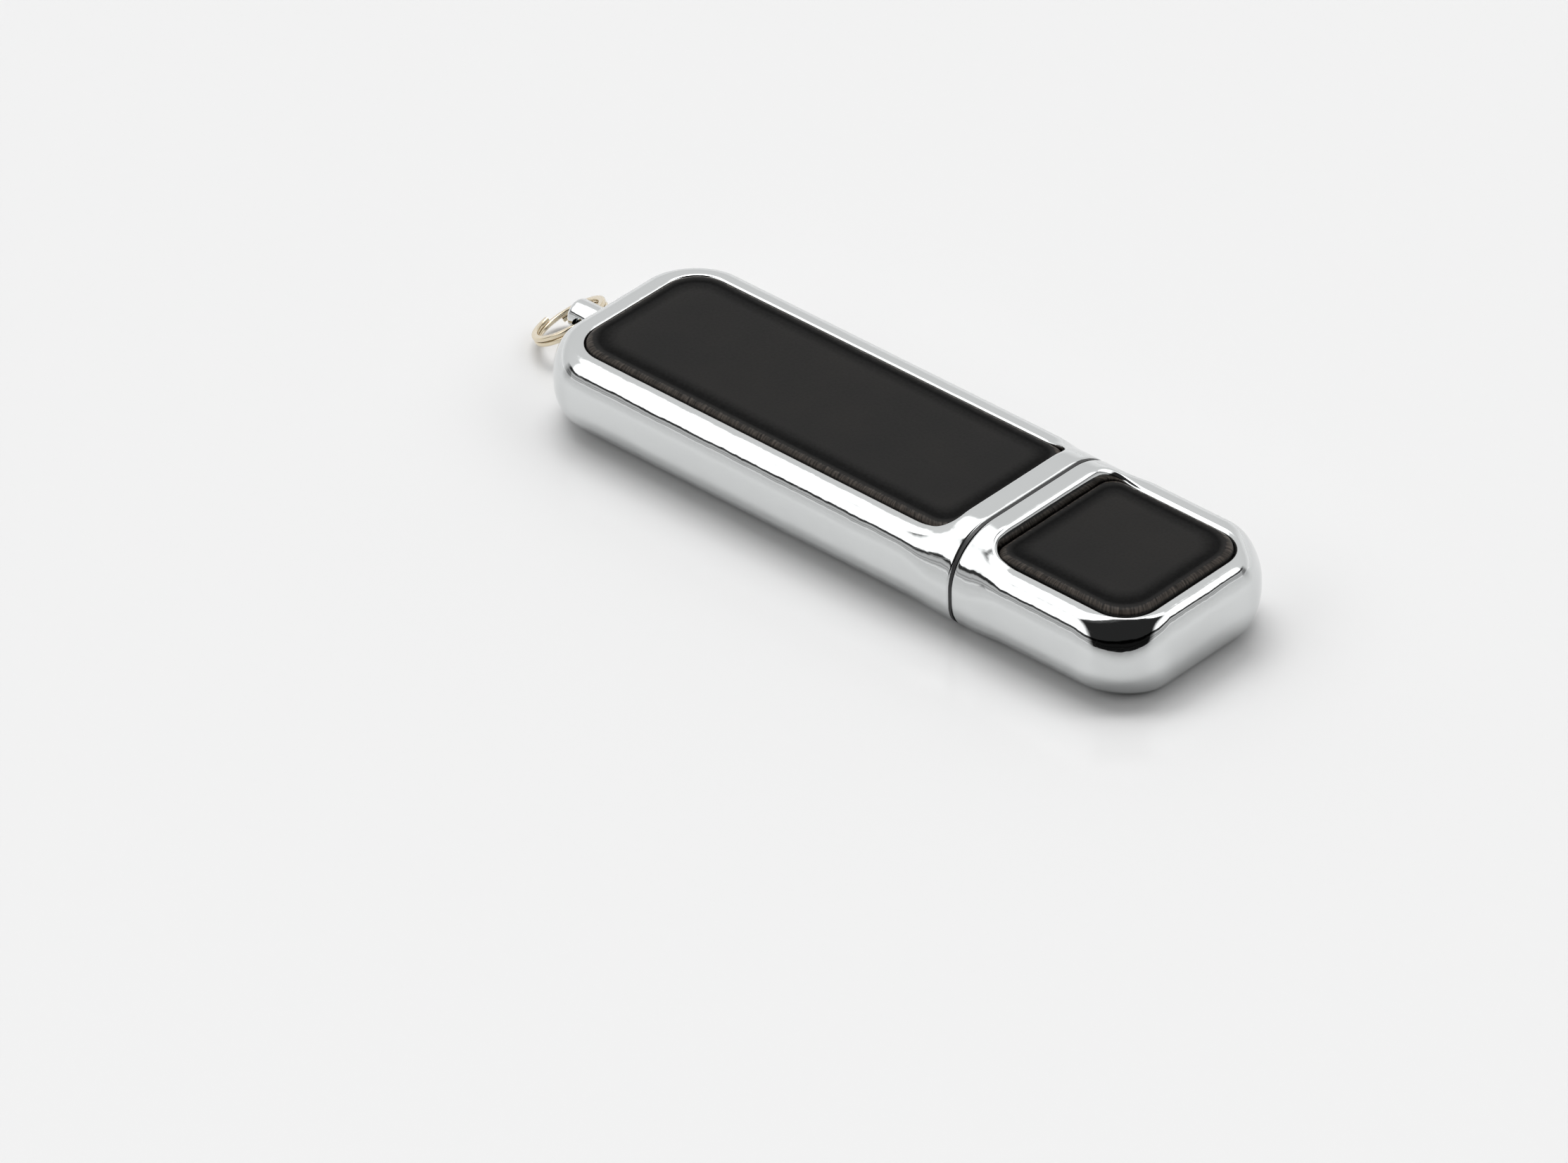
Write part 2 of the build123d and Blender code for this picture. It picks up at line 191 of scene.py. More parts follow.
def grainLeather():
    # Black finished leather: a smooth satin skin with a faint fine grain, with a painted shade in
    # the dip along its edge, and stretched into fine wrinkles with a painted lighter sheen where it
    # turns over the foam.
    material, tree, shader = startMaterial("blackSatinLeather", Specular_IOR_Level=0.11)
    place = addNode(tree, "ShaderNodeTexCoord").outputs["Object"]
    edgeMap = addNode(tree, "ShaderNodeUVMap", uv_map="edgeMap").outputs["UV"]
    inward = addNode(tree, "ShaderNodeSeparateXYZ", {"Vector": edgeMap}).outputs["Y"]
    grain = addNode(
        tree, "ShaderNodeTexNoise", {"Vector": place, "Scale": perMetre(0.28), "Detail": 4.0}
    ).outputs["Fac"]
    patches = addNode(
        tree, "ShaderNodeTexNoise", {"Vector": place, "Scale": perMetre(6.0), "Detail": 3.0}
    ).outputs["Fac"]
    # wrinkles run square to the edge, about a fifth of a millimetre apart
    stretched = addNode(
        tree,
        "ShaderNodeMapping",
        {"Vector": edgeMap, "Scale": (perMetre(0.2), perMetre(1.1), 1)},
    ).outputs["Vector"]
    wrinkles = addNode(
        tree, "ShaderNodeTexNoise", {"Vector": stretched, "Scale": 1.0, "Detail": 2.0}
    ).outputs["Fac"]

    def fromEdge(reachMm):
        # 0 at the leather's edge and 1 at this far in
        share = addNode(
            tree, "ShaderNodeMath", {0: inward, 1: perMetre(reachMm)}, operation="MULTIPLY"
        ).outputs["Value"]
        return addNode(tree, "ShaderNodeValToRGB", {"Fac": share})

    roll = setRamp(
        fromEdge(2.0),
        [(0.0, grey(0.25)), (0.06, grey(1.0)), (0.22, grey(0.75)), (0.36, grey(0.0))],
    )
    # painted shade: a darker band in the dip about a millimetre in from the edge; the same band
    # also makes the skin rougher
    fold = setRamp(
        fromEdge(4.0),
        [
            (0.0, grey(0.0)),
            (0.15, grey(0.0)),
            (0.25, grey(1.0)),
            (0.36, grey(0.8)),
            (0.62, grey(0.0)),
        ],
    )
    rollWrinkles = addNode(
        tree, "ShaderNodeMath", {0: wrinkles, 1: roll}, operation="MULTIPLY"
    ).outputs["Value"]
    tone = setRamp(
        addNode(tree, "ShaderNodeValToRGB", {"Fac": patches}),
        [(0.3, linear("#100f0e")), (0.7, linear("#161412"))],
    )
    # painted shade: the leather's tone mixed towards near-black in the dip
    foldShaded = addNode(
        tree,
        "ShaderNodeMix",
        {"Factor": fold, "A": tone, "B": linear("#090909")},
        data_type="RGBA",
    ).outputs["Result"]
    # painted sheen: the wrinkles on the roll near the edge are mixed towards a lighter brown-grey
    wrinkleSheen = addNode(
        tree,
        "ShaderNodeMapRange",
        {"Value": rollWrinkles, "From Min": 0.24, "From Max": 0.66},
    ).outputs["Result"]
    colour = addNode(
        tree,
        "ShaderNodeMix",
        {"Factor": wrinkleSheen, "A": foldShaded, "B": linear("#554e48")},
        data_type="RGBA",
    ).outputs["Result"]
    rough = addNode(
        tree,
        "ShaderNodeMapRange",
        {"Value": grain, "From Min": 0.3, "From Max": 0.7, "To Min": 0.38, "To Max": 0.5},
    ).outputs["Result"]
    matt = addNode(
        tree, "ShaderNodeMath", {0: fold, 1: 0.4, 2: rough}, operation="MULTIPLY_ADD"
    ).outputs["Value"]
    fine = addNode(
        tree, "ShaderNodeBump", {"Height": grain, "Distance": 0.006 * mm, "Strength": 1.0}
    ).outputs["Normal"]
    pleats = addNode(
        tree,
        "ShaderNodeBump",
        {"Height": rollWrinkles, "Distance": 0.07 * mm, "Strength": 1.0, "Normal": fine},
    ).outputs["Normal"]
    tree.links.new(colour, shader.inputs["Base Color"])
    tree.links.new(matt, shader.inputs["Roughness"])
    tree.links.new(pleats, shader.inputs["Normal"])
    return material


def mouldedPlastic(name, light, dark, lowRough, highRough, grainMm):
    # Injection-moulded plastic: even colour, with the fine spark-eroded texture of its mould.
    material, tree, shader = startMaterial(name, IOR=1.53)
    place = addNode(tree, "ShaderNodeTexCoord").outputs["Object"]
    grain = addNode(
        tree, "ShaderNodeTexNoise", {"Vector": place, "Scale": perMetre(grainMm), "Detail": 3.0}
    )
    tone = addNode(tree, "ShaderNodeValToRGB", {"Fac": grain.outputs["Fac"]})
    colour = setRamp(tone, [(0.3, linear(dark)), (0.7, linear(light))])
    rough = addNode(
        tree,
        "ShaderNodeMapRange",
        {"Value": grain.outputs["Fac"], "To Min": lowRough, "To Max": highRough},
    )
    bump = addNode(
        tree,
        "ShaderNodeBump",
        {"Height": grain.outputs["Fac"], "Distance": 0.01 * mm, "Strength": 0.5},
    )
    tree.links.new(colour, shader.inputs["Base Color"])
    tree.links.new(rough.outputs["Result"], shader.inputs["Roughness"])
    tree.links.new(bump.outputs["Normal"], shader.inputs["Normal"])
    return material


def rolledMetal(name, light, dark, lowRough, highRough, lineMm):
    # Rolled or stamped sheet: long fine lines along the strip that spread its reflections.
    material, tree, shader = startMaterial(name, Metallic=1.0)
    place = addNode(tree, "ShaderNodeTexCoord").outputs["Object"]
    along = addNode(tree, "ShaderNodeMapping", {"Vector": place, "Scale": (0.02, 1, 1)})
    lines = addNode(
        tree,
        "ShaderNodeTexNoise",
        {"Vector": along.outputs["Vector"], "Scale": perMetre(lineMm), "Detail": 4.0},
    )
    tone = addNode(tree, "ShaderNodeValToRGB", {"Fac": lines.outputs["Fac"]})
    colour = setRamp(tone, [(0.3, linear(dark)), (0.7, linear(light))])
    rough = addNode(
        tree,
        "ShaderNodeMapRange",
        {"Value": lines.outputs["Fac"], "To Min": lowRough, "To Max": highRough},
    )
    bump = addNode(tree, "ShaderNodeBump", {"Height": lines.outputs["Fac"], "Distance": 0.002 * mm})
    tree.links.new(colour, shader.inputs["Base Color"])
    tree.links.new(rough.outputs["Result"], shader.inputs["Roughness"])
    tree.links.new(bump.outputs["Normal"], shader.inputs["Normal"])
    return material


def solderMask():
    # Green solder mask over copper: the traces under it show as lighter raised lines.
    material, tree, shader = startMaterial("greenSolderMask", IOR=1.5, Roughness=0.28)
    place = addNode(tree, "ShaderNodeTexCoord").outputs["Object"]
    traces = addNode(
        tree,
        "ShaderNodeTexBrick",
        {
            "Vector": place,
            "Color1": linear("#0d5a30"),
            "Color2": linear("#0b4d2a"),
            "Mortar": linear("#1a7a43"),
            "Scale": perMetre(2.4),
            "Mortar Size": 0.05,
        },
    )
    bump = addNode(tree, "ShaderNodeBump", {"Height": traces.outputs["Fac"], "Distance": 0.03 * mm})
    tree.links.new(traces.outputs["Color"], shader.inputs["Base Color"])
    tree.links.new(bump.outputs["Normal"], shader.inputs["Normal"])
    return material


materials = {
    "chrome": chromePlate(),
    "nickel": nickelWire(),
    "leather": grainLeather(),
    "blackAbs": mouldedPlastic("blackMouldedAbs", "#0f0f11", "#09090a", 0.32, 0.5, 0.25),
    "plugPlastic": mouldedPlastic("blackPlugNylon", "#1d1d1f", "#151517", 0.4, 0.6, 0.2),
    "epoxy": mouldedPlastic("blackChipEpoxy", "#232326", "#19191b", 0.5, 0.7, 0.15),
    "ceramic": mouldedPlastic("tanCapacitorCeramic", "#8a6a44", "#735633", 0.5, 0.7, 0.1),
    "film": mouldedPlastic("blackResistorFilm", "#1b1b1d", "#131314", 0.3, 0.45, 0.1),
    "tape": mouldedPlastic("doubleSidedTape", "#d9d3bf", "#cbc4ae", 0.5, 0.65, 0.4),
    "foam": mouldedPlastic("greyFoamSheet", "#4c4c4e", "#2e2e30", 0.85, 0.95, 0.3),
    "card": mouldedPlastic("pressedFibreCard", "#a08a68", "#86714f", 0.8, 0.95, 0.35),
    "steel": rolledMetal("nickelPlatedSteel", "#d8d7d3", "#c4c3bf", 0.16, 0.3, 0.09),
    "gold": rolledMetal("goldPlatedContact", "#f2cf7c", "#dfb45a", 0.14, 0.26, 0.07),
    "tin": rolledMetal("tinPlatedLead", "#dcdcdc", "#c3c3c5", 0.25, 0.4, 0.05),
    "solderMask": solderMask(),
}
print("materials made:", len(materials))


# Mesh helpers


class MeshMaker:
    # Collects quads by their corner places; corners that meet are welded when the mesh is made.
    # Marks are the points' places in the piece's own map, where it has one.
    def __init__(self):
        self.points = []
        self.faces = []
        self.marks = []

    def strip(self, rowA, rowB, closed=False):
        start = len(self.points)
        self.points += list(rowA) + list(rowB)
        count = len(rowA)
        for i in range(count if closed else count - 1):
            j = (i + 1) % count
            self.faces.append((start + i, start + j, start + count + j, start + count + i))

    def strips(self, rows, closed=False):
        for rowA, rowB in zip(rows, rows[1:]):
            self.strip(rowA, rowB, closed)

    def makeObject(self, name, material, sharpDegrees=32):
        mesh = bpy.data.meshes.new(name)
        mesh.from_pydata([[c * mm for c in p] for p in self.points], [], self.faces)
        if self.marks:
            layer = mesh.uv_layers.new(name="edgeMap")
            for loop in mesh.loops:
                layer.data[loop.index].uv = self.marks[loop.vertex_index]
        work = bmesh.new()
        work.from_mesh(mesh)
        bmesh.ops.remove_doubles(work, verts=work.verts, dist=0.0015 * mm)
        bmesh.ops.dissolve_degenerate(work, edges=work.edges, dist=0.0005 * mm)
        bmesh.ops.recalc_face_normals(work, faces=work.faces)
        work.to_mesh(mesh)
        work.free()
        piece = bpy.data.objects.new(name, mesh)
        bpy.context.scene.collection.objects.link(piece)
        mesh.materials.append(material)
        shadeSmooth(piece, sharpDegrees)
        return piece


def shadeSmooth(piece, sharpDegrees):
    work = bmesh.new()
    work.from_mesh(piece.data)
    for face in work.faces:
        face.smooth = True
    for edge in work.edges:
        sharp = len(edge.link_faces) == 2 and edge.calc_face_angle(0) > math.radians(sharpDegrees)
        edge.smooth = not sharp
    work.to_mesh(piece.data)
    work.free()


def bakeModifiers(piece):
    # Turns the piece with its modifiers into a plain mesh.
    bpy.context.view_layer.update()
    evaluated = piece.evaluated_get(bpy.context.evaluated_depsgraph_get())
    mesh = bpy.data.meshes.new_from_object(evaluated)
    piece.modifiers.clear()
    piece.data = mesh
    mesh.transform(piece.matrix_world)
    piece.matrix_world = Matrix.Identity(4)
    return piece


def cutWith(piece, cutters):
    for cutter in cutters:
        modifier = piece.modifiers.new("cut", "BOOLEAN")
        modifier.operation = "DIFFERENCE"
        modifier.solver = "EXACT"
        modifier.object = cutter
    bakeModifiers(piece)
    for cutter in cutters:
        bpy.data.objects.remove(cutter)
    return piece


def cutterBox(low, high):
    maker = MeshMaker()
    x0, y0, z0 = low
    x1, y1, z1 = high
    rows = []
    for x in (x0, x1):
        rows.append([(x, y0, z0), (x, y1, z0), (x, y1, z1), (x, y0, z1)])
    maker.strips(rows, closed=True)
    maker.points += rows[0] + rows[1]
    maker.faces += [(8, 9, 10, 11), (12, 13, 14, 15)]
    return maker.makeObject("cutter", None)


def cutterRod(centre, direction, radius, length, sides=64):
    maker = MeshMaker()
    turn = Vector(direction).to_track_quat("Z", "Y")
    rows = []
    for end in (-0.5, 0.5):
        ring = []
        for i in range(sides):
            angle = 2 * math.pi * i / sides
            local = Vector((radius * math.cos(angle), radius * math.sin(angle), end * length))
            ring.append(tuple(Vector(centre) + turn @ local))
        rows.append(ring)
    maker.strips(rows, closed=True)
    start = len(maker.points)
    maker.points += rows[0] + rows[1]
    for first in (start, start + sides):
        maker.faces.append(tuple(range(first, first + sides)))
    return maker.makeObject("cutter", None)


# Plan outlines: every loop has the same stations, so that any two can be joined by quads.
# A station is (along, across): along is the distance from the mouth towards the closed end.

stations = {"side": 60, "corner": 36, "end": 34}


def planLoop(
    start,
    stop,
    halfWidth,
    mouthRadius,
    endRadius,
    squareReach=0.0,
    endRadiusAcross=None,
    counts=stations,
):
    across = endRadius if endRadiusAcross is None else endRadiusAcross
    side, corner, end = counts["side"], counts["corner"], counts["end"]
    first = start + (mouthRadius or squareReach)
    last = stop - endRadius
    loop = []
    for i in range(side):
        loop.append((first + (last - first) * (i / side) ** 1.25, -halfWidth))
    for i in range(corner):
        angle = math.pi / 2 * i / corner
        loop.append(
            (last + endRadius * math.sin(angle), -halfWidth + across * (1 - math.cos(angle)))
        )
    flat = halfWidth - across
    for i in range(end):
        loop.append((stop, -flat + 2 * flat * i / end))
    for i in range(corner):
        angle = math.pi / 2 * i / corner
        loop.append(
            (last + endRadius * math.cos(angle), halfWidth - across * (1 - math.sin(angle)))
        )
    for i in range(side):
        loop.append((first + (last - first) * (1 - i / side) ** 1.25, halfWidth))
    for i in range(corner):
        loop.append(mouthCorner(i / corner, start, halfWidth, mouthRadius, squareReach))
    flat = halfWidth - (mouthRadius or squareReach)
    for i in range(end):
        loop.append((start, flat - 2 * flat * i / end))
    for i in range(corner):
        along, y = mouthCorner(1 - i / corner, start, halfWidth, mouthRadius, squareReach)
        loop.append((along, -y))
    return loop


def mouthCorner(share, start, halfWidth, radius, reach):
    if radius:
        angle = math.pi / 2 * share
        return (start + radius * (1 - math.sin(angle)), halfWidth - radius * (1 - math.cos(angle)))
    if share < 0.5:
        return (start + reach * (1 - 2 * share), halfWidth)
    return (start, halfWidth - reach * (2 * share - 1))


def smoothRise(value, low, high):
    t = min(max((value - low) / (high - low), 0.0), 1.0)
    return t * t * (3 - 2 * t)


# The chrome frames of body and cap, made as one shape with different sizes

caseSizes = {
    "halfWidth": 10.5,
    "halfHeight": 3.7,  # over the rims
    "shoulderAcross": 5.4,  # the raised bands' rounding from their flat top to the side
    "shoulderFoot": 0.15,
    "bottomRise": 0.3,
    "planCorner": 5.9,
    "filletAcross": {1: 2.0, -1: 2.5},  # top edge, bottom edge
    "filletDown": {1: 2.4, -1: 3.0},
    "mouthRound": 0.22,
    "sideWall": 1.75,
    "endWall": 1.5,
    "ceiling": 2.7,  # from the middle to the inside of the top wall
    "wallWave": 0.05,
}
bodySizes = {
    "direction": -1,
    "cornerDeep": {1: 0.3, -1: 0.1},  # how much further the rounding reaches at the plan's corners
    "cornerFlat": {1: 0.0, -1: 0.0},  # how far the rounding is flattened there
    "cornerExtra": {1: 0.2, -1: 0.0},
    "band": (1.6, 5.6),  # full height up to here, and down at the rim from here
    "window": (2.2, 2.9),  # margin at the mouth, margin at the closed end
    "sideMargin": 2.6,
    "filletEnd": 1.95,
    "mouthCorner": 1.8,
    "endCorner": 3.3,
    "lip": [(0.0, 3.46), (0.02, 3.56), (0.07, 3.64), (0.14, 3.68), (0.24, 3.7)],
}
capSizes = {
    "direction": 1,
    "cornerDeep": {1: 0.47, -1: 0.1},
    "cornerFlat": {1: 0.28, -1: 0.0},
    "cornerExtra": {1: 0.6, -1: 0.0},
    "band": (1.5, 5.2),
    "window": (1.95, 2.1),
    "sideMargin": 2.85,
    "filletEnd": 1.2,
    "mouthCorner": 1.6,
    "endCorner": 3.1,
    "lip": [(0.0, 3.22), (0.02, 3.32), (0.08, 3.45), (0.18, 3.56), (0.3, 3.65), (0.42, 3.7)],
}
bodyLow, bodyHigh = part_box("body_frame")
capLow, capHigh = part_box("cap_frame")
plugLow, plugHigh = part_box("plug_shell")
middleZ = (plugLow.z + plugHigh.z) / 2 / mm
bandTop = bodyHigh.z / mm - middleZ


def frameSpan(sizes):
    # The mouth's place on the X axis and the length from there to the closed end.
    if sizes["direction"] < 0:
        return bodyHigh.x / mm, (bodyHigh.x - bodyLow.x) / mm
    return capLow.x / mm, (capHigh.x - capLow.x) / mm


def windowLoop(sizes, outset, counts=stations):
    length = frameSpan(sizes)[1]
    margin, endMargin = sizes["window"]
    return planLoop(
        margin - outset,
        length - endMargin + outset,
        caseSizes["halfWidth"] - sizes["sideMargin"] + outset,
        sizes["mouthCorner"] + outset,
        sizes["endCorner"] + outset,
        counts=counts,
    )


def bandHeight(y, rimHeight, side):
    # Height over the middle where the bands cross: a broad shoulder on top, a low step below.
    case = caseSizes
    if side < 0:
        return rimHeight * (1 + case["bottomRise"] / case["halfHeight"])
    beyond = abs(y) - case["halfWidth"] + case["shoulderAcross"]
    reach = min(max(beyond, 0) / case["shoulderAcross"], 1)
    return case["shoulderFoot"] + (bandTop - case["shoulderFoot"]) * math.sqrt(1 - reach * reach)


def frameHalf(sizes, side):
    # One half of a frame, from its middle up (side 1) or down (side -1).
    mouth, length = frameSpan(sizes)
    case = caseSizes
    half = case["halfHeight"]
    count = 2 * stations["side"] + 4 * stations["corner"] + 2 * stations["end"]
    reach = sizes["window"][0] + sizes["mouthCorner"]
    corner, end = stations["corner"], stations["end"]
    farMouth = 2 * stations["side"] + 2 * corner + end + corner // 2
    nearMouth = count - corner // 2
    filletAcross, filletDown = case["filletAcross"][side], case["filletDown"][side]
    vertical = half - filletDown
    deeper, flatter = sizes["cornerDeep"][side], sizes["cornerFlat"][side]
    atCorner = [0.0] * count  # 1 at the middle of a plan corner, 0 away from it
    for start in (stations["side"], stations["side"] + corner + end):
        for i in range(corner + 1):
            atCorner[start + i] = math.sin(math.pi * i / corner) ** 2

    def placed(loop, height, kind, share=None):
        row = []
        for (along, y), weightHere in zip(loop, atCorner):
            z = height
            if kind == "skin":
                slope = height if share is None else half - filletDown * (1 - share)
                z += (slope - height) * flatter * weightHere
                z -= (half - z) * deeper * weightHere
            elif kind == "side":
                z *= (half - filletDown * (1 + deeper * weightHere)) / vertical
            if kind != "inner":
                weight = 1 - smoothRise(along, *sizes["band"])
                if kind == "wall" and side < 0:
                    high = height
                elif kind == "wall":
                    high = height * bandHeight(y, half, side) / half
                elif kind == "lip":
                    high = bandHeight(y, half, side) - half + height
                elif kind == "side" and side > 0:
                    high = height * case["shoulderFoot"] / vertical
                else:
                    high = bandHeight(y, height, side)
                z += weight * (high - z)
            row.append((mouth + sizes["direction"] * along, y, middleZ + side * z))
        return row

    def outerLoop(share, start):
        # share is 1 at the rounding's top edge and 0 on the side
        extra = sizes["cornerExtra"][side] * share
        insetAcross, insetEnd = filletAcross * share, sizes["filletEnd"] * share
        return planLoop(
            start,
            length - insetEnd,
            case["halfWidth"] - insetAcross,
            0,
            case["planCorner"] - insetEnd + extra,
            reach,
            case["planCorner"] - insetAcross + extra,
        )

    def wavyWall(height):
        loop = []
        for along, y in windowLoop(sizes, 0):
            spot = Vector((along, y, height * 2))
            wave = case["wallWave"] * (noise.noise(spot * 1.3) + 0.6 * noise.noise(spot * 4.1))
            pull = 1 + wave / case["halfWidth"]
            loop.append((along + wave * 0.6, y * pull))
        return loop

    maker = MeshMaker()
    # window wall, lip and rim
    wallTop = sizes["lip"][0][1]
    rows = [placed(windowLoop(sizes, 0), case["ceiling"], "inner")]
    for share in (0.3, 0.5, 0.7, 0.88):
        height = case["ceiling"] + (wallTop - case["ceiling"]) * share
        rows.append(placed(wavyWall(height), height, "wall" if share > 0.4 else "inner"))
    for outset, height in sizes["lip"]:
        rows.append(placed(windowLoop(sizes, outset), height, "lip"))
    flatEdge = outerLoop(1.0, case["mouthRound"])
    lipEdge = windowLoop(sizes, sizes["lip"][-1][0])
    for share in (0.12, 0.3, 0.5, 0.7, 0.88, 1.0):
        mixed = []
        for inner, outer in zip(lipEdge, flatEdge):
            mixed.append(tuple(a + (b - a) * share for a, b in zip(inner, outer)))
        rows.append(placed(mixed, half, "skin"))
    maker.strips(rows, closed=True)

    # fillet and side, round three sides
    skin = [rows[-1]]
    steps = 26
    for i in range(1, steps + 1):
        angle = math.pi / 2 * i / steps
        share = 1 - math.sin(angle)
        height = half - filletDown * (1 - math.cos(angle))
        loop = outerLoop(share, case["mouthRound"])
        skin.append(placed(loop, height, "skin" if i < steps else "side", share))
    for share in (0.66, 0.33, 0.0):
        loop = outerLoop(0.0, case["mouthRound"])
        skin.append(placed(loop, vertical * share, "side"))

    def threeSides(row):
        return row[nearMouth:] + row[: farMouth + 1]

    maker.strips([threeSides(row) for row in skin])

    # mouth: rounded edge, then the flat face in to the channel
    def mouthPath(rowSet):
        near = [row[nearMouth] for row in reversed(rowSet)]
        top = list(reversed(rowSet[0][farMouth : nearMouth + 1]))[1:-1]
        far = [row[farMouth] for row in rowSet]
        return near + top + far

    path = mouthPath(skin)
    roundRows = [path]
    for i in range(1, 6):
        angle = math.pi / 2 * i / 5
        inward = case["mouthRound"] * (1 - math.cos(angle))
        x = mouth + sizes["direction"] * case["mouthRound"] * (1 - math.sin(angle))
        roundRows.append([(x, y, z) for y, z in shrinkPath(path, inward, side)])
    maker.strips(roundRows)

    channelHalf = case["halfWidth"] - case["sideWall"]
    channelCorner = case["planCorner"] - case["endWall"]
    channelLoop = planLoop(0, length - case["endWall"], channelHalf, 0, channelCorner, reach)
    channelRows = []
    for i in range(len(skin)):
        height = case["ceiling"] * (1 - i / (len(skin) - 1))
        channelRows.append(placed(channelLoop, height, "inner"))
    maker.strip(roundRows[-1], mouthPath(channelRows))
    maker.strips([threeSides(row) for row in channelRows])
    maker.strip(channelRows[0], rows[0], closed=True)
    return maker


def chromeFrame(name, sizes):
    maker = frameHalf(sizes, 1)
    lower = frameHalf(sizes, -1)
    start = len(maker.points)
    maker.points += lower.points
    maker.faces += [tuple(start + i for i in reversed(face)) for face in lower.faces]
    return maker.makeObject(name, materials["chrome"])


def shrinkPath(path, inward, side):
    # Moves a path in the YZ plane towards the case's middle by the same amount everywhere.
    moved = []
    for i, (y, z) in enumerate([point[1:] for point in path]):
        before = path[max(i - 1, 0)]
        after = path[min(i + 1, len(path) - 1)]
        dy, dz = after[1] - before[1], after[2] - before[2]
        size = math.hypot(dy, dz)
        if i in (0, len(path) - 1):
            dy, dz, size = 0.0, math.copysign(1.0, dz), 1.0
        moved.append((y + side * inward * dz / size, z - side * inward * dy / size))
    return moved


bodyFrame = chromeFrame("bodyChromeFrame", bodySizes)
postHoleRadius, postHoleLength = 0.85, 6
postHole = cutterRod((bodyLow.x / mm, 0, middleZ), (1, 0, 0), postHoleRadius, postHoleLength)
cutWith(bodyFrame, [postHole])
shadeSmooth(bodyFrame, 32)
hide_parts("body_frame")
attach(bodyFrame, "drive")

capFrame = chromeFrame("capChromeFrame", capSizes)
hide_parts("cap_frame")
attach(capFrame, "cap")
print("chrome frames made")


# Leather inlays: a skin turned down over foam, held in the windows

leatherSizes = {
    "gap": 0.05,
    "skirt": 2.86,  # lowest edge, from the case's middle
    "rollStart": 3.35,
    "rollAcross": 0.7,
    "rollTop": {1: 4.0, -1: 3.9},  # over the middle, on top and underneath
    "foldDepth": 0.1,
    "foldInset": 1.08,
    "foldSpread": 0.32,
    "crown": {1: 0.2, -1: 0.05},
    "crownAcross": 2.4,
    "pucker": 0.035,
    "puckerLength": 0.42,
    "swell": 0.05,
    "swellLength": 7.0,
    "lowest": 3.985,
}
leatherStations = {
    "body": {"side": 190, "corner": 26, "end": 70},
    "cap": {"side": 64, "corner": 24, "end": 70},
}


def leatherProfile(size, side, reach):
    # Inset from the edge and height over the middle, from the skirt up over the roll.
    top = size["rollTop"][side]
    profile = [(0.0, size["skirt"]), (0.0, (size["skirt"] + size["rollStart"]) / 2)]
    rollSteps = 16
    for i in range(rollSteps + 1):
        angle = math.pi / 2 * i / rollSteps
        inset = size["rollAcross"] * (1 - math.cos(angle))
        profile.append((inset, size["rollStart"] + (top - size["rollStart"]) * math.sin(angle)))
    crownSteps = 34
    for i in range(1, crownSteps + 1):
        share = (i / crownSteps) ** 1.5
        inset = size["rollAcross"] + (reach - size["rollAcross"]) * share
        lift = 1 - math.exp(-(inset - size["rollAcross"]) / size["crownAcross"])
        dip = math.exp(-(((inset - size["foldInset"]) / size["foldSpread"]) ** 2))
        dip *= min(1.0, (inset - size["rollAcross"]) / 0.3)
        profile.append((inset, top + size["crown"][side] * lift - size["foldDepth"] * dip))
    return profile


def leatherInlay(name, sizes, side):
    size = leatherSizes
    mouth = frameSpan(sizes)[0]
    counts = leatherStations["body" if sizes["direction"] < 0 else "cap"]
    edge = windowLoop(sizes, -size["gap"], counts)
    edge.append(edge[0])
    lengths = [0.0]
    for before, after in zip(edge, edge[1:]):
        lengths.append(lengths[-1] + math.dist(before, after))
    reach = max(p[1] for p in edge)
    low, high = min(p[0] for p in edge) + reach, max(p[0] for p in edge) - reach
    if low > high:
        low = high = (low + high) / 2
    maker = MeshMaker()

    def addRows(rowA, rowB, insetA, insetB):
        maker.strip(rowA, rowB)
        for inset in (insetA, insetB):
            maker.marks += [(length * mm, inset * mm) for length in lengths]

    def rowAt(inset, height, rough):
        share = inset / reach
        row = []
        for a, y in edge:
            middle = min(max(a, low), high)
            pa, py = a + (middle - a) * share, y * (1 - share)
            x = mouth + sizes["direction"] * pa
            z = height
            if rough:
                spot = Vector((x, py, side * 40.0))
                swell = noise.noise(spot / size["swellLength"]) * min(1, inset / 1.5)
                pinch = max(0.0, 1 - abs(inset - 0.35) / 0.6)
                pucker = noise.noise(spot / size["puckerLength"]) * pinch
                z += size["swell"] * swell + size["pucker"] * pucker
            if side < 0:
                z = min(z, size["lowest"])
            row.append((x, py, middleZ + side * z))
        return row

    profile = leatherProfile(size, side, reach)
    rows = [rowAt(inset, height, inset > 0) for inset, height in profile]
    for i in range(len(rows) - 1):
        addRows(rows[i], rows[i + 1], profile[i][0], profile[i + 1][0])
    # the inside of the skin closes the piece and gives its edge a thickness
    inside = [(0.45, size["skirt"]), (0.45, size["skirt"] + 0.3), (reach, size["skirt"] + 0.3)]
    inner = [rows[0]] + [rowAt(inset, height, False) for inset, height in inside]
    for rowA, rowB in zip(inner, inner[1:]):
        addRows(rowA, rowB, 0.0, 0.0)
    return maker.makeObject(name, materials["leather"], 60)


inlays = [
    ("bodyTopLeather", bodySizes, 1, "body_top_leather", "drive"),
    ("bodyBottomLeather", bodySizes, -1, "body_bottom_leather", "drive"),
    ("capTopLeather", capSizes, 1, "cap_top_leather", "cap"),
    ("capBottomLeather", capSizes, -1, "cap_bottom_leather", "cap"),
]
for name, sizes, side, node, body in inlays:
    piece = leatherInlay(name, sizes, side)
    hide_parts(node)
    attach(piece, body)
print("leather inlays made")


# Key-ring post

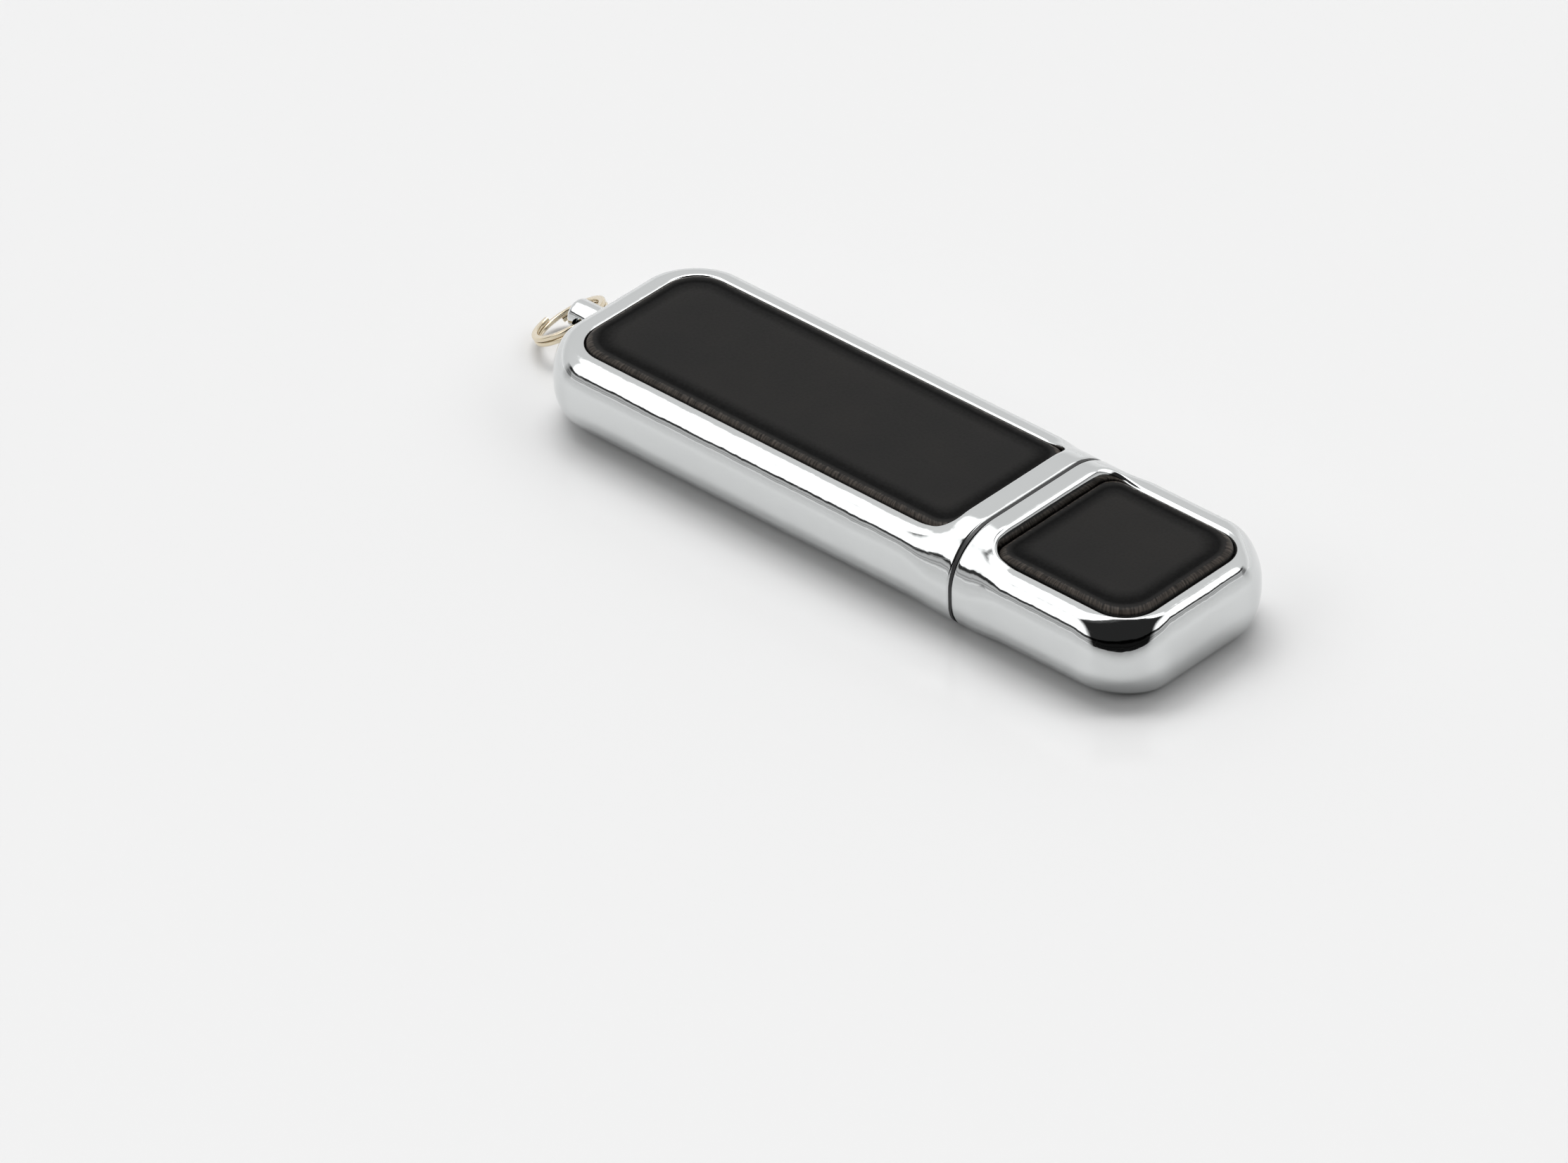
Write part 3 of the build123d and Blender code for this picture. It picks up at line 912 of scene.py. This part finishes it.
joints = {joint["name"]: joint for joint in frame["joints"]}
holeCentre = Vector(joints["ring_swing"]["pos_m"]) / mm
holeAxis = Vector(joints["ring_swing"]["axis"]).normalized()
postLow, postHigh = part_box("keyring_post")

postSizes = {
    "barrelRadius": 1.4,
    "neckRadius": 0.8,
    "headRadius": 1.3,
    "headThickness": 0.5,
    "holeRadius": 0.85,
    "tipRound": 0.55,
    "edgeBevel": 0.16,
}


def keyringPost():
    size = postSizes
    tip, rear = postLow.x / mm, postHigh.x / mm
    shoulder = bodyLow.x / mm - 0.05
    head = rear - size["headThickness"]
    profile = [(tip, 0.0)]
    for i in range(13):
        angle = math.pi / 2 * i / 12
        r = size["barrelRadius"] - size["tipRound"] * (1 - math.sin(angle))
        profile.append((tip + size["tipRound"] * (1 - math.cos(angle)), r))
    profile.append((holeCentre.x, size["barrelRadius"]))
    profile.append((shoulder - 0.1, size["barrelRadius"]))
    profile.append((shoulder, size["barrelRadius"] - 0.1))
    profile.append((shoulder, size["neckRadius"]))
    profile.append((head, size["neckRadius"]))
    profile.append((head, size["headRadius"] - 0.05))
    for i in range(9):
        angle = math.pi / 2 * i / 8
        r = size["headRadius"] - 0.3 * (1 - math.cos(angle))
        profile.append((head + 0.2 + 0.3 * math.sin(angle), r))
    profile.append((rear, 0.0))
    rows = []
    sides = 96
    for x, r in profile:
        ring = []
        for i in range(sides):
            angle = 2 * math.pi * i / sides
            ring.append((x, r * math.cos(angle), middleZ + r * math.sin(angle)))
        rows.append(ring)
    maker = MeshMaker()
    maker.strips(rows, closed=True)
    post = maker.makeObject("keyringPost", materials["chrome"])
    cutWith(post, [cutterRod(holeCentre, holeAxis, size["holeRadius"], 8, 72)])
    bevel = post.modifiers.new("softEdges", "BEVEL")
    bevel.width = size["edgeBevel"] * mm
    bevel.segments = 4
    bevel.limit_method = "ANGLE"
    bevel.angle_limit = math.radians(50)
    bakeModifiers(post)
    shadeSmooth(post, 40)
    return post


post = keyringPost()
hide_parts("keyring_post")
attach(post, "post")
print("post made")


# Split ring: flat wire wound nearly twice round, by Geometry Nodes

ringSizes = {
    "Radius": 3.3,
    "Wire width": 0.6,
    "Wire thickness": 0.42,
    "Pitch": 0.47,
    "Turns": 1.94,
    "Edge round": 0.13,
}


def ringTree(material):
    tree = bpy.data.node_groups.new("splitRingWinding", "GeometryNodeTree")
    tree.interface.new_socket("Geometry", in_out="INPUT", socket_type="NodeSocketGeometry")
    tree.interface.new_socket("Geometry", in_out="OUTPUT", socket_type="NodeSocketGeometry")
    for name in ringSizes:
        tree.interface.new_socket(name, in_out="INPUT", socket_type="NodeSocketFloat")
    given = addNode(tree, "NodeGroupInput").outputs
    rise = addNode(
        tree, "ShaderNodeMath", {0: given["Pitch"], 1: given["Turns"]}, operation="MULTIPLY"
    ).outputs["Value"]
    path = addNode(
        tree,
        "GeometryNodeCurveSpiral",
        {
            "Resolution": 160,
            "Rotations": given["Turns"],
            "Start Radius": given["Radius"],
            "End Radius": given["Radius"],
            "Height": rise,
            "Reverse": False,
        },
    ).outputs["Curve"]
    upright = addNode(
        tree, "GeometryNodeSetCurveNormal", {"Curve": path}, mode="Z_UP"
    ).outputs["Curve"]
    profile = addNode(
        tree,
        "GeometryNodeCurvePrimitiveQuadrilateral",
        {"Width": given["Wire width"], "Height": given["Wire thickness"]},
    ).outputs["Curve"]
    rounded = addNode(
        tree,
        "GeometryNodeFilletCurve",
        {"Curve": profile, "Radius": given["Edge round"], "Count": 5},
        mode="POLY",
    ).outputs["Curve"]
    swept = addNode(
        tree,
        "GeometryNodeCurveToMesh",
        {"Curve": upright, "Profile Curve": rounded, "Fill Caps": True},
    ).outputs["Mesh"]
    smooth = addNode(tree, "GeometryNodeSetShadeSmooth", {"Geometry": swept}).outputs["Geometry"]
    real = addNode(tree, "GeometryNodeRealizeInstances", {"Geometry": smooth}).outputs["Geometry"]
    coated = addNode(
        tree, "GeometryNodeSetMaterial", {"Geometry": real, "Material": material}
    ).outputs["Geometry"]
    addNode(tree, "NodeGroupOutput", {"Geometry": coated})
    return tree


def splitRing():
    low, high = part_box("split_ring")
    centre = (low + high) / 2 / mm
    away = centre - holeCentre
    away = (away - holeAxis * away.dot(holeAxis)).normalized()
    wireRadius = ringSizes["Radius"]
    sag = wireRadius - math.sqrt(wireRadius**2 - postSizes["barrelRadius"] ** 2)
    centre = holeCentre + away * (wireRadius - sag / 2)
    ring = bpy.data.objects.new("splitRing", bpy.data.meshes.new("splitRing"))
    bpy.context.scene.collection.objects.link(ring)
    winding = ring.modifiers.new("winding", "NODES")
    tree = ringTree(materials["nickel"])
    winding.node_group = tree
    for socket in tree.interface.items_tree:
        if socket.in_out == "INPUT" and socket.name in ringSizes:
            scale = 1.0 if socket.name == "Turns" else mm
            winding[socket.identifier] = ringSizes[socket.name] * scale
    bakeModifiers(ring)
    up = -holeAxis.cross(away)
    turn = Matrix((away, up.cross(away), up)).transposed().to_4x4()
    lift = Matrix.Translation((0, 0, -ringSizes["Pitch"] * mm))
    ring.data.transform(Matrix.Translation(centre * mm) @ turn @ lift)
    return ring


ring = splitRing()
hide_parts("split_ring")
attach(ring, "ring")
print("split ring made")


# USB plug's steel shell

plugSizes = {
    "wall": 0.3,
    "corner": 0.65,
    "lipRound": 0.12,
    "latch": (2.0, 2.5),
    "latchSetback": 5.15,
    "latchSpacing": 6.0,
    "foldGap": 0.06,
}


def roundedSection(x, halfWide, halfTall, radius, perCorner=12):
    ring = []
    for quarter in range(4):
        cy = (halfWide - radius) * (1 if quarter in (0, 3) else -1)
        cz = (halfTall - radius) * (1 if quarter in (0, 1) else -1)
        for i in range(perCorner + 1):
            angle = math.pi / 2 * (quarter + i / perCorner)
            ring.append((x, cy + radius * math.cos(angle), middleZ + cz + radius * math.sin(angle)))
    return ring


def plugShell():
    size = plugSizes
    rear, tip = plugLow.x / mm, plugHigh.x / mm
    wide, tall = (plugHigh.y - plugLow.y) / 2 / mm, (plugHigh.z - plugLow.z) / 2 / mm
    rows = [roundedSection(rear, wide, tall, size["corner"])]
    lip = size["lipRound"]
    for i in range(9):
        angle = math.pi * i / 8
        inset = size["wall"] / 2 * (1 - math.cos(angle))
        x = tip - lip + lip * math.sin(angle)
        rows.append(roundedSection(x, wide - inset, tall - inset, size["corner"] - inset))
    wall = size["wall"]
    rows.append(roundedSection(rear, wide - wall, tall - wall, size["corner"] - wall))
    rows.append(rows[0])
    maker = MeshMaker()
    maker.strips(rows, closed=True)
    shell = maker.makeObject("plugSteelShell", materials["steel"])
    cutters = []
    length, width = size["latch"]
    x0 = tip - size["latchSetback"] - length
    for side in (-1, 1):
        y = side * size["latchSpacing"] / 2
        low = (x0, y - width / 2, middleZ - tall - 1)
        cutters.append(cutterBox(low, (x0 + length, y + width / 2, middleZ + tall + 1)))
    gap = size["foldGap"] / 2
    low = (rear - 1, -gap, middleZ - tall - 1)
    cutters.append(cutterBox(low, (tip + 1, gap, middleZ - tall + 1)))
    cutWith(shell, cutters)
    bevel = shell.modifiers.new("softEdges", "BEVEL")
    bevel.width = 0.04 * mm
    bevel.segments = 2
    bevel.limit_method = "ANGLE"
    bevel.angle_limit = math.radians(60)
    bakeModifiers(shell)
    shadeSmooth(shell, 40)
    return shell


shell = plugShell()
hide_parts("plug_shell")
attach(shell, "drive")
print("plug shell made")


# Finishes of the CAD pieces that stay

finishes = {
    "blackAbs": ["collar", "cap_liner", "core_upper", "core_lower"],
    "plugPlastic": ["plug_insulator"],
    "gold": ["plug_contacts"],
    "steel": ["post_washer", "crystal"],
    "solderMask": ["board"],
    "epoxy": ["flash_chip", "controller_chip"],
    "tin": ["flash_chip_leads", "controller_chip_leads"],
    "ceramic": ["capacitors"],
    "film": ["resistors"],
    "tape": ["body_top_tape", "body_bottom_tape", "cap_top_tape", "cap_bottom_tape"],
    "foam": ["body_top_foam", "body_bottom_foam", "cap_top_foam", "cap_bottom_foam"],
    "card": ["body_top_card", "body_bottom_card", "cap_top_card", "cap_bottom_card"],
}
for finish, names in finishes.items():
    for name in names:
        mesh = nodes[name].data
        mesh.materials.clear()
        mesh.materials.append(materials[finish])


# Table, light and camera

stageSizes = {
    "floorHalf": 4.0,
    "underCase": 0.00002,  # a hair below the case, so that the two surfaces don't meet
}


def whiteTable():
    # Glossy white acrylic sheet.
    material = startMaterial(
        "whiteAcrylicTable", Base_Color=linear("#e6e6e6"), Roughness=0.2, IOR=1.35
    )[0]
    mesh = bpy.data.meshes.new("table")
    half = stageSizes["floorHalf"]
    corners = [(-half, -half, 0), (half, -half, 0), (half, half, 0), (-half, half, 0)]
    mesh.from_pydata(corners, [], [(0, 1, 2, 3)])
    mesh.materials.append(material)
    table = bpy.data.objects.new("table", mesh)
    bpy.context.scene.collection.objects.link(table)
    table.location.z = -stageSizes["underCase"]


cameraSizes = {
    "azimuth": -46.32,
    "elevation": 34.96,
    "roll": -1.5,
    "distance": 1.0,
    "target": (-0.00096, -0.01397, 0.0),
    "lens": 271.42,
}


def studioCamera():
    size = cameraSizes
    azimuth, elevation = math.radians(size["azimuth"]), math.radians(size["elevation"])
    back = Vector(
        (
            math.cos(elevation) * math.cos(azimuth),
            math.cos(elevation) * math.sin(azimuth),
            math.sin(elevation),
        )
    )
    right = Vector((0, 0, 1)).cross(back).normalized()
    up = back.cross(right)
    roll = math.radians(size["roll"])
    rightRolled = right * math.cos(roll) + up * math.sin(roll)
    upRolled = up * math.cos(roll) - right * math.sin(roll)
    turn = Matrix((rightRolled, upRolled, back)).transposed().to_4x4()
    data = bpy.data.cameras.new("studioCamera")
    data.lens = size["lens"]
    data.sensor_width = 36
    data.clip_start = 0.05
    data.clip_end = 20
    camera = bpy.data.objects.new("studioCamera", data)
    bpy.context.scene.collection.objects.link(camera)
    spot = Vector(size["target"]) + back * size["distance"]
    camera.matrix_world = Matrix.Translation(spot) @ turn
    bpy.context.scene.camera = camera


lightSizes = {
    "strength": 1.7,
    "lampAzimuth": 150.0,
    "lampElevation": 72.0,
    "lampReach": (30.0, 14.0),  # degrees from its middle: where it starts, and where it is full
    "lampExtra": 3.4,
    "shadeHalfWidth": (0.68, 0.5),
    "shadeTop": (0.6, 0.52),
    "shadeDepth": 0.985,
    "skirtingReach": (-0.5, -0.25),
}


def lightTent():
    # A long white tent over the table: a grey skirting with a black hem along the near side, a
    # bright ceiling with the lamp behind it, a grey wall at the back, and the dark shape of
    # whoever stands in front.
    size = lightSizes
    world = bpy.data.worlds.new("lightTent")
    world.use_nodes = True
    bpy.context.scene.world = world
    tree = world.node_tree
    background = tree.nodes["Background"]
    way = addNode(tree, "ShaderNodeTexCoord").outputs["Generated"]
    up = addNode(tree, "ShaderNodeSeparateXYZ", {"Vector": way}).outputs["Z"]
    azimuth = math.radians(cameraSizes["azimuth"])

    def along(direction):
        return addNode(
            tree, "ShaderNodeVectorMath", {0: way, 1: direction}, operation="DOT_PRODUCT"
        ).outputs["Value"]

    def ease(value, low, high):
        return addNode(
            tree,
            "ShaderNodeMapRange",
            {"Value": value, "From Min": low, "From Max": high},
            interpolation_type="SMOOTHSTEP",
        ).outputs["Result"]

    def times(a, b):
        return addNode(tree, "ShaderNodeMath", {0: a, 1: b}, operation="MULTIPLY").outputs["Value"]

    towards = along((math.cos(azimuth), math.sin(azimuth), 0.0))
    sideways = along((-math.sin(azimuth), math.cos(azimuth), 0.0))
    over = addNode(
        tree, "ShaderNodeMath", {0: up, 1: towards}, operation="ARCTAN2"
    ).outputs["Value"]
    # 0 at the near horizon, 0.5 overhead, 1 at the far horizon
    arch = addNode(
        tree, "ShaderNodeMapRange", {"Value": over, "From Min": 0.0, "From Max": math.pi}
    ).outputs["Result"]
    tent = setRamp(
        addNode(tree, "ShaderNodeValToRGB", {"Fac": arch}),
        [
            (0.0, grey(1.0)),
            (0.63, grey(1.0)),
            (0.66, grey(0.5)),
            (0.9, grey(0.46)),
            (1.0, grey(0.6)),
        ],
    )
    # the skirting, by the sine of its height: grey with darker lines, and the hem on top
    skirting = setRamp(
        addNode(tree, "ShaderNodeValToRGB", {"Fac": up}),
        [
            (0.0, grey(0.6)),
            (0.03, grey(0.5)),
            (0.09, grey(0.2)),
            (0.12, grey(0.4)),
            (0.17, grey(0.16)),
            (0.2, grey(0.36)),
            (0.27, grey(0.32)),
            (0.3, grey(0.02)),
            (0.38, grey(0.02)),
            (0.41, grey(1.0)),
        ],
    )
    near = ease(towards, *size["skirtingReach"])
    hem = addNode(
        tree, "ShaderNodeMix", {"Factor": near, "A": grey(1.0), "B": skirting}, data_type="RGBA"
    ).outputs["Result"]
    walls = addNode(
        tree,
        "ShaderNodeMix",
        {"Factor": 1.0, "A": tent, "B": hem},
        data_type="RGBA",
        blend_type="MULTIPLY",
    ).outputs["Result"]
    lampAzimuth = math.radians(size["lampAzimuth"])
    lampElevation = math.radians(size["lampElevation"])
    lampWay = (
        math.cos(lampElevation) * math.cos(lampAzimuth),
        math.cos(lampElevation) * math.sin(lampAzimuth),
        math.sin(lampElevation),
    )
    outer, full = [math.cos(math.radians(angle)) for angle in size["lampReach"]]
    lamp = times(ease(along(lampWay), outer, full), size["lampExtra"])
    width = addNode(tree, "ShaderNodeMath", {0: sideways}, operation="ABSOLUTE").outputs["Value"]
    shade = times(ease(width, *size["shadeHalfWidth"]), ease(arch, *size["shadeTop"]))
    clear = addNode(
        tree, "ShaderNodeMath", {0: 1.0, 1: times(shade, size["shadeDepth"])}, operation="SUBTRACT"
    ).outputs["Value"]
    shaded = addNode(
        tree, "ShaderNodeMix", {"Factor": clear, "A": grey(0.0), "B": walls}, data_type="RGBA"
    ).outputs["Result"]
    glow = addNode(tree, "ShaderNodeMath", {0: lamp, 1: 1.0}, operation="ADD").outputs["Value"]
    total = times(glow, size["strength"])
    tree.links.new(shaded, background.inputs["Color"])
    tree.links.new(total, background.inputs["Strength"])


whiteTable()
studioCamera()
lightTent()
bpy.context.scene.view_settings.view_transform = "Standard"
print("stage, camera and light made")
